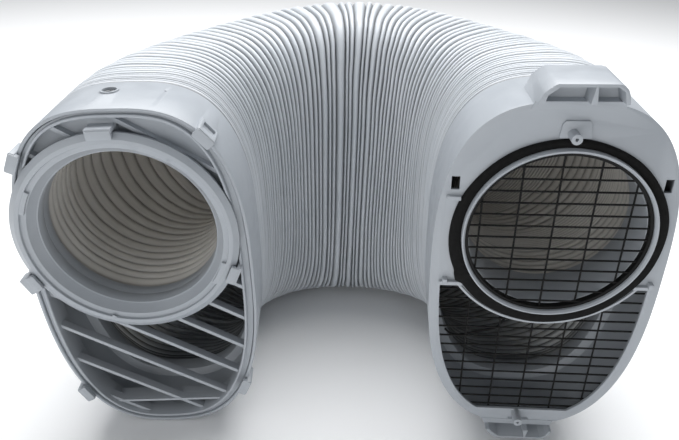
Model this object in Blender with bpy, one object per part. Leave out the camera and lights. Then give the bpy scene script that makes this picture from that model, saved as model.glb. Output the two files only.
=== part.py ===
# Double exhaust hose of a portable air conditioner: a tall oval bellows with a round hose in it,
# bent into a U and lying on the floor, with a moulded adapter at each end.
# Metres, Z up. The open ends face -Y, the bend is at +Y.
import bpy
import bmesh
from math import pi, sin, cos, radians, hypot, atan2
from mathutils import Matrix, Vector

# Round mouths: both ends have them at one height, each a little off the middle line of its end
MOUTH_HEIGHT = 0.230
LEFT_MOUTH = -0.0060
RIGHT_MOUTH = 0.0030
BORE_RADIUS = 0.075
SEAT_RADIUS = 0.0875
SEAT_DEPTH = 0.052
RING_RADIUS = SEAT_RADIUS + 0.0105
COLLAR_RADIUS = 0.080
COLLAR_WALL = 0.0040
COLLAR_PROUD = 0.0100
COLLAR_BACK = 0.045

# Section shared by both ends: half width, top, height of its widest line, roundness of each half
HALF_WIDTH = RING_RADIUS + 0.0030
TOP = MOUTH_HEIGHT + 0.1165
WIDEST = 0.185
POWER_UP = 2.9
POWER_LOW = 2.6

# Where the ends stand, how far each is turned about the vertical and how far it leans
END_GAP = 0.3611
LEFT_TURN = radians(2.3)
RIGHT_TURN = radians(-3.2)
LEFT_LEAN = radians(2.44)
RIGHT_LEAN = radians(2.5)
RIGHT_LIFT = 0.0191
RIGHT_FORWARD = 0.0065

# Bend of the outer hose: straight part behind each band, and the section in the middle
STRAIGHT = 0.030
MID_HALF_WIDTH = HALF_WIDTH + 0.0010
MID_TOP = TOP + 0.023
MID_LEAN = radians(3.0)
MID_POWER_LOW = 3.5

# Pleats of the outer hose
BEND_PLEATS = 66
STRAIGHT_PLEATS = 7
PLEAT_DEPTH = 0.0045
HOSE_WALL = 0.0020
HOSE_SIDES = 18

# Bands of both ends
BAND_DEPTH = 0.066
SPIGOT_DEPTH = 0.014
CUFF = 0.006
FIT = 0.0003
SHELL_SIDES = 40
OPENING_SIDES = 48

# Inner hose
INNER_RADIUS = 0.0792
INNER_RIB = 0.0030
INNER_WALL = 0.0018
INNER_RIBS = 30
INNER_SIDES = 16

# Snap hooks on the left rim: share of the half width, and whether above or below
HOOKS = ((0.720, True), (-0.835, True), (0.800, False), (-0.785, False))

# Slats of the left end, and the closed plate behind the upper ones
SLAT_SLOPE = radians(-32)
SLAT_PITCH = 0.0378
SLAT_THICK = 0.0030
SLAT_DEPTH = 0.0070
SLAT_FRONT = 0.006
SLAT_BACK = 0.018
COVER_LOW = MOUTH_HEIGHT + 0.008
SCREW_PLACE = -0.0107

# Flange and openings of the right end
FLANGE_THICK = 0.0030
LIP_RADIUS = 0.0965
DIVIDER_HEIGHT = MOUTH_HEIGHT - 0.0555
LOWER_FLOOR = 0.0200
LOWER_INSET = 0.0095

# Posts, pad, slots, foam ring and lugs of the flange: heights above the foot of the oval
POST_TOP = MOUTH_HEIGHT + 0.0913
POST_BOTTOM = 0.0160
POST_LENGTH = 0.0145
PAD_LOW = MOUTH_HEIGHT + 0.0872
GASKET_RADIUS = 0.0902
GASKET_DROP = 0.0036
LUG_RISE = 0.0166
LUG_FALL = 0.0125
LUG_PROUD = 0.0090
SLOT_HEIGHT = MOUTH_HEIGHT + 0.046

# Guards
GUARD_BAR = 0.0015
GUARD_PITCH = 0.0110
GUARD_COLUMN = 0.0305
GUARD_MIDDLE = -0.0015
ROUND_GUARD_DEPTH = -0.0040
LOWER_GUARD_DEPTH = 0.0045

# Points closer than this are one point
WELD = 0.00004

for old in list(bpy.data.objects):
    bpy.data.objects.remove(old)

PARTS = bpy.data.collections.new("exhaust_hose")
CUTTERS = bpy.data.collections.new("cutters")
bpy.context.scene.collection.children.link(PARTS)
bpy.context.scene.collection.children.link(CUTTERS)


# Materials

def plain(name, colour, rough, metal=0.0):
    mat = bpy.data.materials.new(name)
    mat.use_nodes = True
    shader = mat.node_tree.nodes["Principled BSDF"]
    shader.inputs["Base Color"].default_value = (*colour, 1)
    shader.inputs["Roughness"].default_value = rough
    shader.inputs["Metallic"].default_value = metal
    return mat


# Bodies

def body(name, verts, faces, mat=None, store=None):
    """One mesh object from points and faces, its faces turned outwards."""
    mesh = bpy.data.meshes.new(name)
    mesh.from_pydata([tuple(v) for v in verts], [], faces)
    edit = bmesh.new()
    edit.from_mesh(mesh)
    bmesh.ops.recalc_face_normals(edit, faces=edit.faces)
    edit.to_mesh(mesh)
    edit.free()
    made = bpy.data.objects.new(name, mesh)
    (store or PARTS).objects.link(made)
    if store is CUTTERS:
        made.hide_render = True
        made.display_type = "WIRE"
    if mat:
        mesh.materials.append(mat)
    return made


def grid_faces(rows, count, closed_rows):
    """Quads of a net whose rows are closed rings of count points."""
    faces = []
    for r in range(rows if closed_rows else rows - 1):
        for c in range(count):
            a = r * count + c
            b = r * count + (c + 1) % count
            d = ((r + 1) % rows) * count
            faces.append((a, b, d + (c + 1) % count, d + c))
    return faces


def swept(name, rings, closed=False, mat=None, store=None):
    """A body through rings of equally many points, its two ends closed, or joined to each other."""
    count = len(rings[0])
    faces = grid_faces(len(rings), count, closed)
    if not closed:
        faces.append(tuple(range(count)))
        faces.append(tuple((len(rings) - 1) * count + c for c in range(count)))
    return body(name, [p for ring in rings for p in ring], faces, mat, store)


def block(name, low, high, store=None, mat=None):
    """A box between two corners, x, depth and height."""
    rings = []
    for y in (low[1], high[1]):
        rings.append([(low[0], y, low[2]), (high[0], y, low[2]),
                      (high[0], y, high[2]), (low[0], y, high[2])])
    return swept(name, rings, False, mat, store or CUTTERS)


def prism(name, outline, front, back, store=None, mat=None):
    """An outline in x and height, carried from one depth to another."""
    rings = [[(x, front, z) for x, z in outline], [(x, back, z) for x, z in outline]]
    return swept(name, rings, False, mat, store or CUTTERS)


def turned(name, profile, sides, centre, store=None, mat=None, phase=0.0):
    """A ring or disc about a line along Y; its profile is a closed line of (depth, radius)."""
    rings = []
    for i in range(sides):
        a = 2 * pi * (i + phase) / sides
        rings.append([(centre[0] + r * cos(a), y, centre[1] + r * sin(a)) for y, r in profile])
    return swept(name, rings, True, mat, store or CUTTERS)


def rod(name, start, end, radius, sides=8, store=None, mat=None):
    """A round bar between two points."""
    a, b = Vector(start), Vector(end)
    turn = (b - a).to_track_quat("Z", "Y").to_matrix()
    rings = []
    for p in (a, b):
        rings.append([p + turn @ Vector((radius * cos(2 * pi * i / sides),
                                         radius * sin(2 * pi * i / sides), 0)) for i in range(sides)])
    return swept(name, rings, False, mat, store or CUTTERS)


def join(target, tools, how="UNION"):
    """Boolean every tool into the target, one after another, and leave a plain mesh."""
    for tool in tools:
        step = target.modifiers.new(how.lower(), "BOOLEAN")
        step.solver = "EXACT"
        step.operation = how
        step.object = tool
        bpy.context.view_layer.update()
        mesh = bpy.data.meshes.new_from_object(target.evaluated_get(bpy.context.evaluated_depsgraph_get()))
        target.modifiers.remove(step)
        target.data = mesh
        bpy.data.objects.remove(tool)
        edit = bmesh.new()
        edit.from_mesh(mesh)
        bmesh.ops.remove_doubles(edit, verts=edit.verts, dist=WELD)
        bmesh.ops.dissolve_degenerate(edit, edges=edit.edges, dist=WELD)
        edit.to_mesh(mesh)
        edit.free()
    return target


def place(made, matrix):
    made.data.transform(matrix)
    made.data.update()


# Section of the hose and of both bands

def outline(sides, inset=0.0, half=HALF_WIDTH, top=TOP, power_low=POWER_LOW):
    """The oval as (x, height), started at the right side, moved inwards by inset."""
    points = []
    for i in range(sides):
        a = 2 * pi * i / sides
        power = POWER_UP if sin(a) > 0 else power_low
        c, s = cos(a), sin(a)
        x = half * (abs(c) ** (2 / power)) * (1 if c >= 0 else -1)
        z = (top - WIDEST if s > 0 else WIDEST) * (abs(s) ** (2 / power)) * (1 if s >= 0 else -1)
        points.append((x, z + WIDEST))
    if not inset:
        return points
    moved = []
    for i in range(sides):
        (xa, za), (xb, zb) = points[i - 1], points[(i + 1) % sides]
        length = hypot(xb - xa, zb - za)
        moved.append((points[i][0] - inset * (zb - za) / length, points[i][1] + inset * (xb - xa) / length))
    return moved


def band(name, profile, sides, store=None, mat=None):
    """A tube along the oval; its profile is a closed line of (depth, inset)."""
    rows = [(y, outline(sides, w)) for y, w in profile]
    rings = [[(ring[i][0], y, ring[i][1]) for y, ring in rows] for i in range(sides)]
    return swept(name, rings, True, mat, store or CUTTERS)


# Where each end stands: x across it, y into the hose, z up

LEFT = (Matrix.Translation((-END_GAP / 2, 0, 0)) @ Matrix.Rotation(LEFT_TURN, 4, "Z")
        @ Matrix.Rotation(-LEFT_LEAN, 4, "Y"))
RIGHT = (Matrix.Translation((END_GAP / 2, -RIGHT_FORWARD, RIGHT_LIFT)) @ Matrix.Rotation(RIGHT_TURN, 4, "Z")
         @ Matrix.Rotation(-RIGHT_LEAN, 4, "Y"))


HOSE_START = BAND_DEPTH + FIT


def ease(value, start, stop):
    """0 before start, 1 after stop, a smooth way between."""
    t = min(max((value - start) / (stop - start), 0.0), 1.0)
    return t * t * (3 - 2 * t)


def route(depth_left, depth_right, height, steps, aside=(0.0, 0.0)):
    """Frames (point, across, up) from one end to the other, on the line at this height of the section.

    steps gives how many to make on the first straight, the bend and the last straight; aside is
    how far the line stands off the middle line of each end.
    """
    straight = HOSE_START + STRAIGHT - depth_left
    start = LEFT @ Vector((0, depth_left, 0))
    stop = RIGHT @ Vector((0, depth_right, 0))
    heading0 = (LEFT.to_3x3() @ Vector((0, 1, 0))).xy
    heading1 = -(RIGHT.to_3x3() @ Vector((0, 1, 0))).xy
    a0 = atan2(heading0.y, heading0.x)
    a1 = atan2(heading1.y, heading1.x)
    if a1 > a0:
        a1 -= 2 * pi
    # One turn of radius r between the two straights: solve r and the length of the last one
    whole = Vector((sin(a0) - sin(a1), cos(a1) - cos(a0)))
    gap = stop.xy - start.xy - heading0 * straight
    det = whole.x * heading1.y - whole.y * heading1.x
    radius = (gap.x * heading1.y - gap.y * heading1.x) / det
    last = (whole.x * gap.y - whole.y * gap.x) / det
    frames = []
    turn = a0 - a1
    total = straight + turn * radius + last
    marks = [straight * i / steps[0] for i in range(steps[0])]
    marks += [straight + turn * radius * i / steps[1] for i in range(steps[1])]
    marks += [straight + turn * radius + last * i / steps[2] for i in range(steps[2] + 1)]
    for s in marks:
        if s <= straight:
            spot, angle = start.xy + heading0 * s, a0
        elif s >= straight + turn * radius:
            spot, angle = stop.xy - heading1 * (total - s), a1
        else:
            angle = a0 - (s - straight) / radius
            spot = start.xy + heading0 * straight + radius * Vector((sin(a0) - sin(angle),
                                                                    cos(angle) - cos(a0)))
        part = (s + depth_left - HOSE_START) / (total + depth_left + depth_right - 2 * HOSE_START)
        part = min(max(part, 0.0), 1.0)
        over = ease(part, 0.06, 0.94)
        bulge = sin(pi * over) ** 2
        lean = -LEFT_LEAN * (1 - over) + RIGHT_LEAN * over - MID_LEAN * bulge
        rise = start.z + (stop.z - start.z) * ease(part, 0.45, 0.94)
        inward = Vector((sin(angle), -cos(angle), 0))
        up = Vector((0, 0, 1)) * cos(lean) + inward * sin(lean)
        across = inward * cos(lean) - Vector((0, 0, 1)) * sin(lean)
        origin = Vector((spot.x, spot.y, rise))
        off = aside[0] * (1 - over) - aside[1] * over
        frames.append((origin + up * height + across * off, across, up, bulge, s, total))
    return frames


# Outer hose: a folded wall over the bend, plain inside, with a flat cuff at each end

def outer_ring(frame, inset):
    origin, across, up, bulge = frame[:4]
    half = HALF_WIDTH + (MID_HALF_WIDTH - HALF_WIDTH) * bulge
    top = TOP + (MID_TOP - TOP) * bulge
    power = POWER_LOW + (MID_POWER_LOW - POWER_LOW) * bulge
    return [origin + across * -x + up * z for x, z in outline(HOSE_SIDES, inset, half, top, power)]


WHITE = plain("white_plastic", (0.62, 0.66, 0.70), 0.38)
BELLOWS = plain("bellows_plastic", (0.66, 0.69, 0.72), 0.42)
GREY = plain("inner_plastic", (0.45, 0.43, 0.40), 0.55)
BLACK = plain("black_plastic", (0.012, 0.013, 0.013), 0.45)
FOAM = plain("black_foam", (0.010, 0.011, 0.011), 0.95)
STEEL = plain("screw_steel", (0.42, 0.43, 0.44), 0.32, 1.0)

fold = route(HOSE_START + CUFF, HOSE_START + CUFF, 0.0,
             (2 * STRAIGHT_PLEATS, 2 * BEND_PLEATS, 2 * STRAIGHT_PLEATS))
plain_line = route(HOSE_START, HOSE_START, 0.0, (3, 26, 3))
rings = [outer_ring(plain_line[0], 0.0006)]
for i, frame in enumerate(fold):
    rings.append(outer_ring(frame, PLEAT_DEPTH if i % 2 == 0 else 0.0))
rings.append(outer_ring(plain_line[-1], 0.0006))
for frame in reversed(plain_line):
    rings.append(outer_ring(frame, PLEAT_DEPTH + HOSE_WALL))
swept("outer_hose", rings, True, BELLOWS)


# Inner hose: round, ribbed outside, from the back of the ring seat to the back of the collar

def round_ring(frame, radius):
    origin, across, up = frame[:3]
    return [origin + across * radius * cos(2 * pi * i / INNER_SIDES)
            + up * radius * sin(2 * pi * i / INNER_SIDES) for i in range(INNER_SIDES)]


inner_left = SEAT_DEPTH - 0.016
inner_right = COLLAR_BACK - 0.016
sleeve = BAND_DEPTH + SPIGOT_DEPTH + 0.002 - inner_left
mouths = (LEFT_MOUTH, RIGHT_MOUTH)
near = route(inner_left, inner_right, MOUTH_HEIGHT, (1, 1, 1), mouths)
ribbed = route(inner_left + sleeve, inner_right + sleeve, MOUTH_HEIGHT, (4, 2 * INNER_RIBS, 4), mouths)
smooth = route(inner_left, inner_right, MOUTH_HEIGHT, (2, 20, 2), mouths)
rings = [round_ring(near[0], INNER_RADIUS + 0.0025)]
for i, frame in enumerate(ribbed):
    rings.append(round_ring(frame, INNER_RADIUS + (INNER_RIB if i % 2 else 0.0)))
rings.append(round_ring(near[-1], INNER_RADIUS + 0.0025))
for frame in reversed(smooth):
    rings.append(round_ring(frame, INNER_RADIUS - INNER_WALL + 0.0008))
swept("inner_hose", rings, True, GREY)


# Window end: band with a lipped rim, spigot, four snap hooks and a screw boss

shell = band("window_end_shell", [
    (0.0000, 0.0004), (0.0000, 0.0030), (0.0030, 0.0034), (BAND_DEPTH - 0.004, 0.0034),
    (BAND_DEPTH - 0.002, 0.0122), (BAND_DEPTH + SPIGOT_DEPTH, 0.0122),
    (BAND_DEPTH + SPIGOT_DEPTH, 0.0102), (BAND_DEPTH, 0.0100), (BAND_DEPTH, 0.0),
    (0.0050, 0.0)], SHELL_SIDES, PARTS, WHITE)


def snap_hook(x, z, angle, width=0.018):
    """A hook that stands off the rim and turns back over its front edge."""
    c, s = cos(angle), sin(angle)

    def at(across, out):
        return (x + out * c - across * s, z + out * s + across * c)

    h = width / 2
    arm = prism("hook", [at(-h, -0.001), at(h, -0.001), at(h, 0.0042), at(-h, 0.0042)], -0.006, 0.016)
    n = h - 0.0004
    nose = prism("nose", [at(-n, -0.0042), at(n, -0.0042), at(n, 0.0036), at(-n, 0.0036)], -0.0066, -0.0025)
    n = h - 0.0010
    tongue = prism("tongue", [at(-n, -0.0008), at(n, -0.0008), at(n, 0.0026), at(-n, 0.0026)], 0.012, 0.026)
    return join(arm, [nose, tongue])


def edge_at(place_share, upper):
    """The oval's edge at this share of its half width: x, height and outward direction."""
    power, reach = (POWER_UP, TOP - WIDEST) if upper else (POWER_LOW, WIDEST)
    x = place_share * HALF_WIDTH
    share = abs(place_share)
    rise = reach * (1 - share ** power) ** (1 / power)
    out_x = share ** (power - 1) / HALF_WIDTH
    out_z = (rise / reach) ** (power - 1) / reach
    side = 1 if x > 0 else -1
    flip = 1 if upper else -1
    return x, WIDEST + flip * rise, atan2(flip * out_z, side * out_x)




def ring_hook(angle, arm_out, arm_back, width=0.016):
    """A small hook that rises outside the ring and turns over its front."""
    c, s = cos(angle), sin(angle)

    def at(across, out):
        r = RING_RADIUS + out
        return (LEFT_MOUTH + r * c - across * s, MOUTH_HEIGHT + r * s + across * c)

    h = width / 2
    arm = prism("arm", [at(-h, 0.0008), at(h, 0.0008), at(h, arm_out), at(-h, arm_out)], -0.0092, arm_back)
    n = h - 0.0004
    nose = prism("nose", [at(-n, -0.0040), at(n, -0.0040), at(n, 0.0030), at(-n, 0.0030)], -0.0100, -0.0064)
    return join(arm, [nose])


join(shell, [snap_hook(*edge_at(x, upper)) for x, upper in HOOKS])
join(shell, [ring_hook(radians(206), 0.0105, 0.0028)])
boss = rod("boss", (SCREW_PLACE, 0.043, TOP - 0.012), (SCREW_PLACE, 0.043, TOP + 0.0016), 0.0078, 16)
join(shell, [boss])
well = rod("well", (SCREW_PLACE, 0.043, TOP - 0.0034), (SCREW_PLACE, 0.043, TOP + 0.006), 0.0058, 16)
join(shell, [well], "DIFFERENCE")
place(shell, LEFT)

screw = rod("band_screw", (SCREW_PLACE, 0.043, TOP - 0.0031), (SCREW_PLACE, 0.043, TOP - 0.0006),
            0.0042, 14, PARTS, STEEL)
cross = block("cross", (SCREW_PLACE - 0.0028, 0.0424, TOP - 0.0014),
              (SCREW_PLACE + 0.0028, 0.0436, TOP + 0.001))
cross2 = block("cross2", (SCREW_PLACE - 0.0006, 0.0402, TOP - 0.0014),
               (SCREW_PLACE + 0.0006, 0.0458, TOP + 0.001))
join(screw, [cross, cross2], "DIFFERENCE")
place(screw, LEFT)

# Slatted insert: a rail round the oval, the seat of the ring, slats between them, two hooks

grille = band("slatted_grille", [(SLAT_FRONT - 0.002, 0.0082), (SLAT_FRONT - 0.002, 0.0108),
                                 (SLAT_BACK + 0.004, 0.0108), (SLAT_BACK + 0.004, 0.0037),
                                 (SLAT_BACK + 0.0015, 0.0037), (SLAT_BACK + 0.0015, 0.0082)],
              SHELL_SIDES, PARTS, WHITE)
slats = []
inside = prism("inside", outline(SHELL_SIDES, 0.0095), SLAT_FRONT - 0.01, SLAT_BACK + 0.01)
low = MOUTH_HEIGHT - 0.17 * SLAT_PITCH
slat_half = 1.5 * HALF_WIDTH
first_slat = -int((MOUTH_HEIGHT + HALF_WIDTH) / SLAT_PITCH)
last_slat = int((TOP - MOUTH_HEIGHT + HALF_WIDTH) / SLAT_PITCH) + 1
for k in range(first_slat, last_slat):
    z = low + k * SLAT_PITCH
    d = Vector((cos(SLAT_SLOPE), 0, sin(SLAT_SLOPE)))
    t = Vector((-d.z, 0, d.x)) * SLAT_THICK / 2
    ends = [Vector((0, 0, z)) + d * w for w in (-slat_half, slat_half)]
    line = [(ends[0] - t), (ends[1] - t), (ends[1] + t), (ends[0] + t)]
    edge_depth = SLAT_FRONT - 0.0015
    slats.append(prism("slat", [(p.x, p.z) for p in line], edge_depth, edge_depth + SLAT_DEPTH))
slats.append(block("cover", (-slat_half, SLAT_FRONT + SLAT_DEPTH - 0.0025, COVER_LOW),
                   (slat_half, SLAT_FRONT + SLAT_DEPTH - 0.0005, TOP)))
first = join(slats[0], slats[1:])
join(first, [inside], "INTERSECT")


def mouth_hole(radius):
    """A round cutter through the insert on the middle of the left mouth."""
    return rod("hole", (LEFT_MOUTH, -0.01, MOUTH_HEIGHT), (LEFT_MOUTH, SEAT_DEPTH + 0.02, MOUTH_HEIGHT),
               radius, SHELL_SIDES)


join(first, [mouth_hole(SEAT_RADIUS + 0.0012)], "DIFFERENCE")
join(grille, [mouth_hole(SEAT_RADIUS + 0.0010)], "DIFFERENCE")
seat = turned("seat", [(SLAT_FRONT - 0.001, SEAT_RADIUS + 0.0022), (SLAT_FRONT - 0.001, SEAT_RADIUS),
                       (SLAT_FRONT + 0.0125, SEAT_RADIUS), (SLAT_FRONT + 0.0125, BORE_RADIUS - 0.001),
                       (SEAT_DEPTH, BORE_RADIUS - 0.001), (SEAT_DEPTH, BORE_RADIUS + 0.0010),
                       (SLAT_BACK + 0.003, BORE_RADIUS + 0.0010), (SLAT_BACK + 0.003, SEAT_RADIUS + 0.0022)],
              SHELL_SIDES, (LEFT_MOUTH, MOUTH_HEIGHT))
bracket = block("bracket", (LEFT_MOUTH - 0.0130, SLAT_FRONT + 0.001, MOUTH_HEIGHT + SEAT_RADIUS + 0.0006),
                (LEFT_MOUTH + 0.0080, SLAT_BACK - 0.001, TOP - 0.0095))
join(grille, [first, seat, bracket])
hooks = []
for angle in (91.5, -24):
    hook = ring_hook(radians(angle), 0.0050, SLAT_BACK, 0.020)
    c, s = cos(radians(angle)), sin(radians(angle))
    reach = (SEAT_RADIUS + 0.0012, RING_RADIUS + 0.0030)
    corners = [(LEFT_MOUTH + r * c - w * s, MOUTH_HEIGHT + r * s + w * c)
               for r, w in ((reach[0], -0.0094), (reach[0], 0.0094), (reach[1], 0.0094), (reach[1], -0.0094))]
    hooks.append(join(hook, [prism("foot", corners, SLAT_FRONT + 0.0015, SLAT_BACK + 0.0020)]))
join(grille, hooks)
place(grille, LEFT)

# Locking ring: a cup stepped inside, its flange over the rim, three tabs on its front edge

front = -0.0060
step = SEAT_RADIUS - BORE_RADIUS
shoulder = SEAT_RADIUS + 0.0026
ring = turned("locking_ring", [
    (front + 0.0030, RING_RADIUS), (front, RING_RADIUS - 0.0050), (front, SEAT_RADIUS + 0.0015),
    (front + 0.0025, SEAT_RADIUS + 0.0010), (front + 0.0030, BORE_RADIUS + 0.68 * step),
    (0.0060, BORE_RADIUS + 0.14 * step), (0.0085, BORE_RADIUS + 0.0005),
    (SLAT_FRONT + 0.0122, BORE_RADIUS + 0.0005), (SLAT_FRONT + 0.0122, SEAT_RADIUS - FIT),
    (SLAT_FRONT - 0.002 - FIT, SEAT_RADIUS - FIT), (SLAT_FRONT - 0.002 - FIT, shoulder),
    (-FIT, shoulder), (-FIT, RING_RADIUS)],
    SHELL_SIDES, (LEFT_MOUTH, MOUTH_HEIGHT), PARTS, WHITE)
tabs = []
for middle, span in ((155, 15), (65, 16), (-27, 16)):
    fan = []
    for radius, turn in ((SEAT_RADIUS + 0.0022, 1), (SEAT_RADIUS - 0.0025, -1)):
        for k in range(5):
            a = radians(middle + turn * (span * k / 4 - span / 2))
            fan.append((LEFT_MOUTH + radius * cos(a), MOUTH_HEIGHT + radius * sin(a)))
    tabs.append(prism("tab", fan, front + 0.0003, front + 0.0040))
join(ring, tabs)
place(ring, LEFT)

# Unit end: band, flange, collar, lip, divider, posts and lugs in one piece

end = band("unit_end_shell", [
    (0.0012, 0.0004), (0.0012, 0.0030), (BAND_DEPTH - 0.004, 0.0034),
    (BAND_DEPTH - 0.002, 0.0122), (BAND_DEPTH + SPIGOT_DEPTH, 0.0122),
    (BAND_DEPTH + SPIGOT_DEPTH, 0.0102), (BAND_DEPTH, 0.0100), (BAND_DEPTH, 0.0),
    (0.0050, 0.0)], SHELL_SIDES, PARTS, WHITE)


def lower_opening(inset):
    """The opening below the divider: the oval inside its rim, cut by the divider and the lip."""
    roof, ground = DIVIDER_HEIGHT - inset, LOWER_FLOOR + inset
    edge = outline(OPENING_SIDES, LOWER_INSET + inset)
    right = []
    for (xa, za), (xb, zb) in zip(edge, edge[1:] + edge[:1]):
        for level in (ground, roof):
            if xa + xb > 0 and za < level <= zb and level < WIDEST:
                right.append((xa + (xb - xa) * (level - za) / (zb - za), level))
        if xb > 0 and ground + 0.001 < zb < roof - 0.001 and xb >= xa and zb > za:
            right.append((xb, zb))
    right.sort(key=lambda p: p[1])
    lip = LIP_RADIUS + 0.0008 + inset
    reach = (roof - MOUTH_HEIGHT) / lip
    from_angle = atan2(reach, (1 - reach ** 2) ** 0.5)
    arc = []
    for k in range(13):
        a = from_angle + (-pi - 2 * from_angle) * k / 12
        arc.append((RIGHT_MOUTH + lip * cos(a), MOUTH_HEIGHT + lip * sin(a)))
    return [(-x, z) for x, z in reversed(right)] + right + arc


plate = prism("plate", outline(SHELL_SIDES), 0.0, FLANGE_THICK)
plate_cut = prism("plate_cut", lower_opening(0.0), -0.01, 0.02)
join(plate, [plate_cut], "DIFFERENCE")
collar_hole = rod("collar_hole", (RIGHT_MOUTH, -0.01, MOUTH_HEIGHT), (RIGHT_MOUTH, 0.02, MOUTH_HEIGHT),
                  COLLAR_RADIUS - 0.002, SHELL_SIDES)
join(plate, [collar_hole], "DIFFERENCE")
collar = turned("collar", [
    (-COLLAR_PROUD, COLLAR_RADIUS), (-COLLAR_PROUD, COLLAR_RADIUS - COLLAR_WALL),
    (ROUND_GUARD_DEPTH + 0.0045, COLLAR_RADIUS - COLLAR_WALL),
    (ROUND_GUARD_DEPTH + 0.0045, BORE_RADIUS - 0.004),
    (ROUND_GUARD_DEPTH + 0.0070, BORE_RADIUS - 0.004), (COLLAR_BACK, BORE_RADIUS - 0.004),
    (COLLAR_BACK, BORE_RADIUS - 0.0005), (0.0190, BORE_RADIUS - 0.0005), (0.0170, COLLAR_RADIUS)],
    SHELL_SIDES, (RIGHT_MOUTH, MOUTH_HEIGHT))
lip = turned("lip", [(-0.0022, LIP_RADIUS), (-0.0022, LIP_RADIUS - 0.0022), (0.002, LIP_RADIUS - 0.0022),
                     (0.002, LIP_RADIUS)], SHELL_SIDES, (RIGHT_MOUTH, MOUTH_HEIGHT))
low_half = block("low_half", (RIGHT_MOUTH - 1.2 * LIP_RADIUS, -0.02, MOUTH_HEIGHT - 1.2 * LIP_RADIUS),
                 (RIGHT_MOUTH + 1.2 * LIP_RADIUS, 0.02, DIVIDER_HEIGHT + 0.001))
join(lip, [low_half], "INTERSECT")
pad = prism("pad", [(-0.0085, PAD_LOW), (0.0165, PAD_LOW), (0.0140, PAD_LOW + 0.0145),
                    (-0.0070, PAD_LOW + 0.0145)], -0.0022, 0.001)
posts = []
for x, z in ((0.0017, POST_TOP), (-0.0050, POST_BOTTOM)):
    post = rod("post", (x, 0.001, z), (x, -POST_LENGTH, z), 0.0043, 12)
    drill = rod("drill", (x, 0.0065 - POST_LENGTH, z), (x, -0.020, z), 0.0014, 8)
    posts.append(join(post, [drill], "DIFFERENCE"))
join(end, [plate, collar, lip, pad] + posts)


def lug(sign):
    """An open pocket that stands above or below the band and in front of the flange, with a rib in it."""
    base = TOP - 0.006 if sign > 0 else 0.006
    shift_x = 0.0010 if sign > 0 else -0.0045

    def line(rows):
        return [(x + shift_x, base + sign * z) for x, z in rows]

    h = (LUG_RISE if sign > 0 else LUG_FALL) + 0.006
    shape = prism("lug", line([(-0.034, 0.0), (-0.028, h - 0.0080), (-0.018, h), (0.026, h),
                               (0.034, h - 0.0060), (0.038, 0.0)]), -LUG_PROUD, 0.040)
    front, back = -LUG_PROUD - 0.004, 0.030
    floor = 0.0085
    pocket = prism("pocket", line([(-0.0265, floor), (-0.0245, h - 0.0090), (-0.0165, h - 0.0024),
                                   (0.0075, h - 0.0024), (0.0075, floor)]), front, back)
    pocket2 = prism("pocket2", line([(0.0098, floor), (0.0098, h - 0.0024), (0.0250, h - 0.0024),
                                     (0.0316, h - 0.0072), (0.0335, floor)]), front, back)
    face = prism("face", line([(-0.05, -0.02), (-0.05, 0.0068), (0.05, 0.0068), (0.05, -0.02)]),
                 front, -0.0006)
    return join(shape, [pocket, pocket2, face], "DIFFERENCE")


join(end, [lug(1), lug(-1)])
slot_out = HALF_WIDTH - 0.0125
slot_in = slot_out - 0.0065
slots = [block("slot", (-slot_out, -0.01, SLOT_HEIGHT - 0.006), (-slot_in, 0.012, SLOT_HEIGHT + 0.006)),
         block("slot", (slot_in, -0.01, SLOT_HEIGHT - 0.006), (slot_out, 0.012, SLOT_HEIGHT + 0.006)),
         block("slot", (-0.006, 0.046, TOP - 0.012), (0.008, 0.052, TOP + 0.010))]
join(end, slots, "DIFFERENCE")
place(end, RIGHT)

# Foam strip round the collar, between it and the lip

gasket_rings = []
for i in range(SHELL_SIDES):
    a = 2 * pi * i / SHELL_SIDES
    ring = []
    for depth, radius, drop in ((-FIT, COLLAR_RADIUS + FIT, 0.0),
                                (-FIT, GASKET_RADIUS, GASKET_DROP),
                                (-0.0055, GASKET_RADIUS, GASKET_DROP),
                                (-0.0070, GASKET_RADIUS - 0.0015, GASKET_DROP),
                                (-0.0070, COLLAR_RADIUS + FIT, 0.0)):
        ring.append((RIGHT_MOUTH + radius * cos(a), depth, MOUTH_HEIGHT - drop + radius * sin(a)))
    gasket_rings.append(ring)
gasket = swept("foam_gasket", gasket_rings, True, FOAM, PARTS)
place(gasket, RIGHT)

# Guards: bars fused where they cross, the upright ones a little thicker


def bars(low_x, high_x, low_z, high_z, columns, rows, depth):
    made = []
    for x in columns:
        made.append(block("bar", (x - GUARD_BAR / 2, depth - 0.0011, low_z),
                          (x + GUARD_BAR / 2, depth + 0.0011, high_z)))
    for z in rows:
        made.append(block("bar", (low_x, depth - 0.0007, z - GUARD_BAR / 2),
                          (high_x, depth + 0.0007, z + GUARD_BAR / 2)))
    return join(made[0], made[1:])


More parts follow.
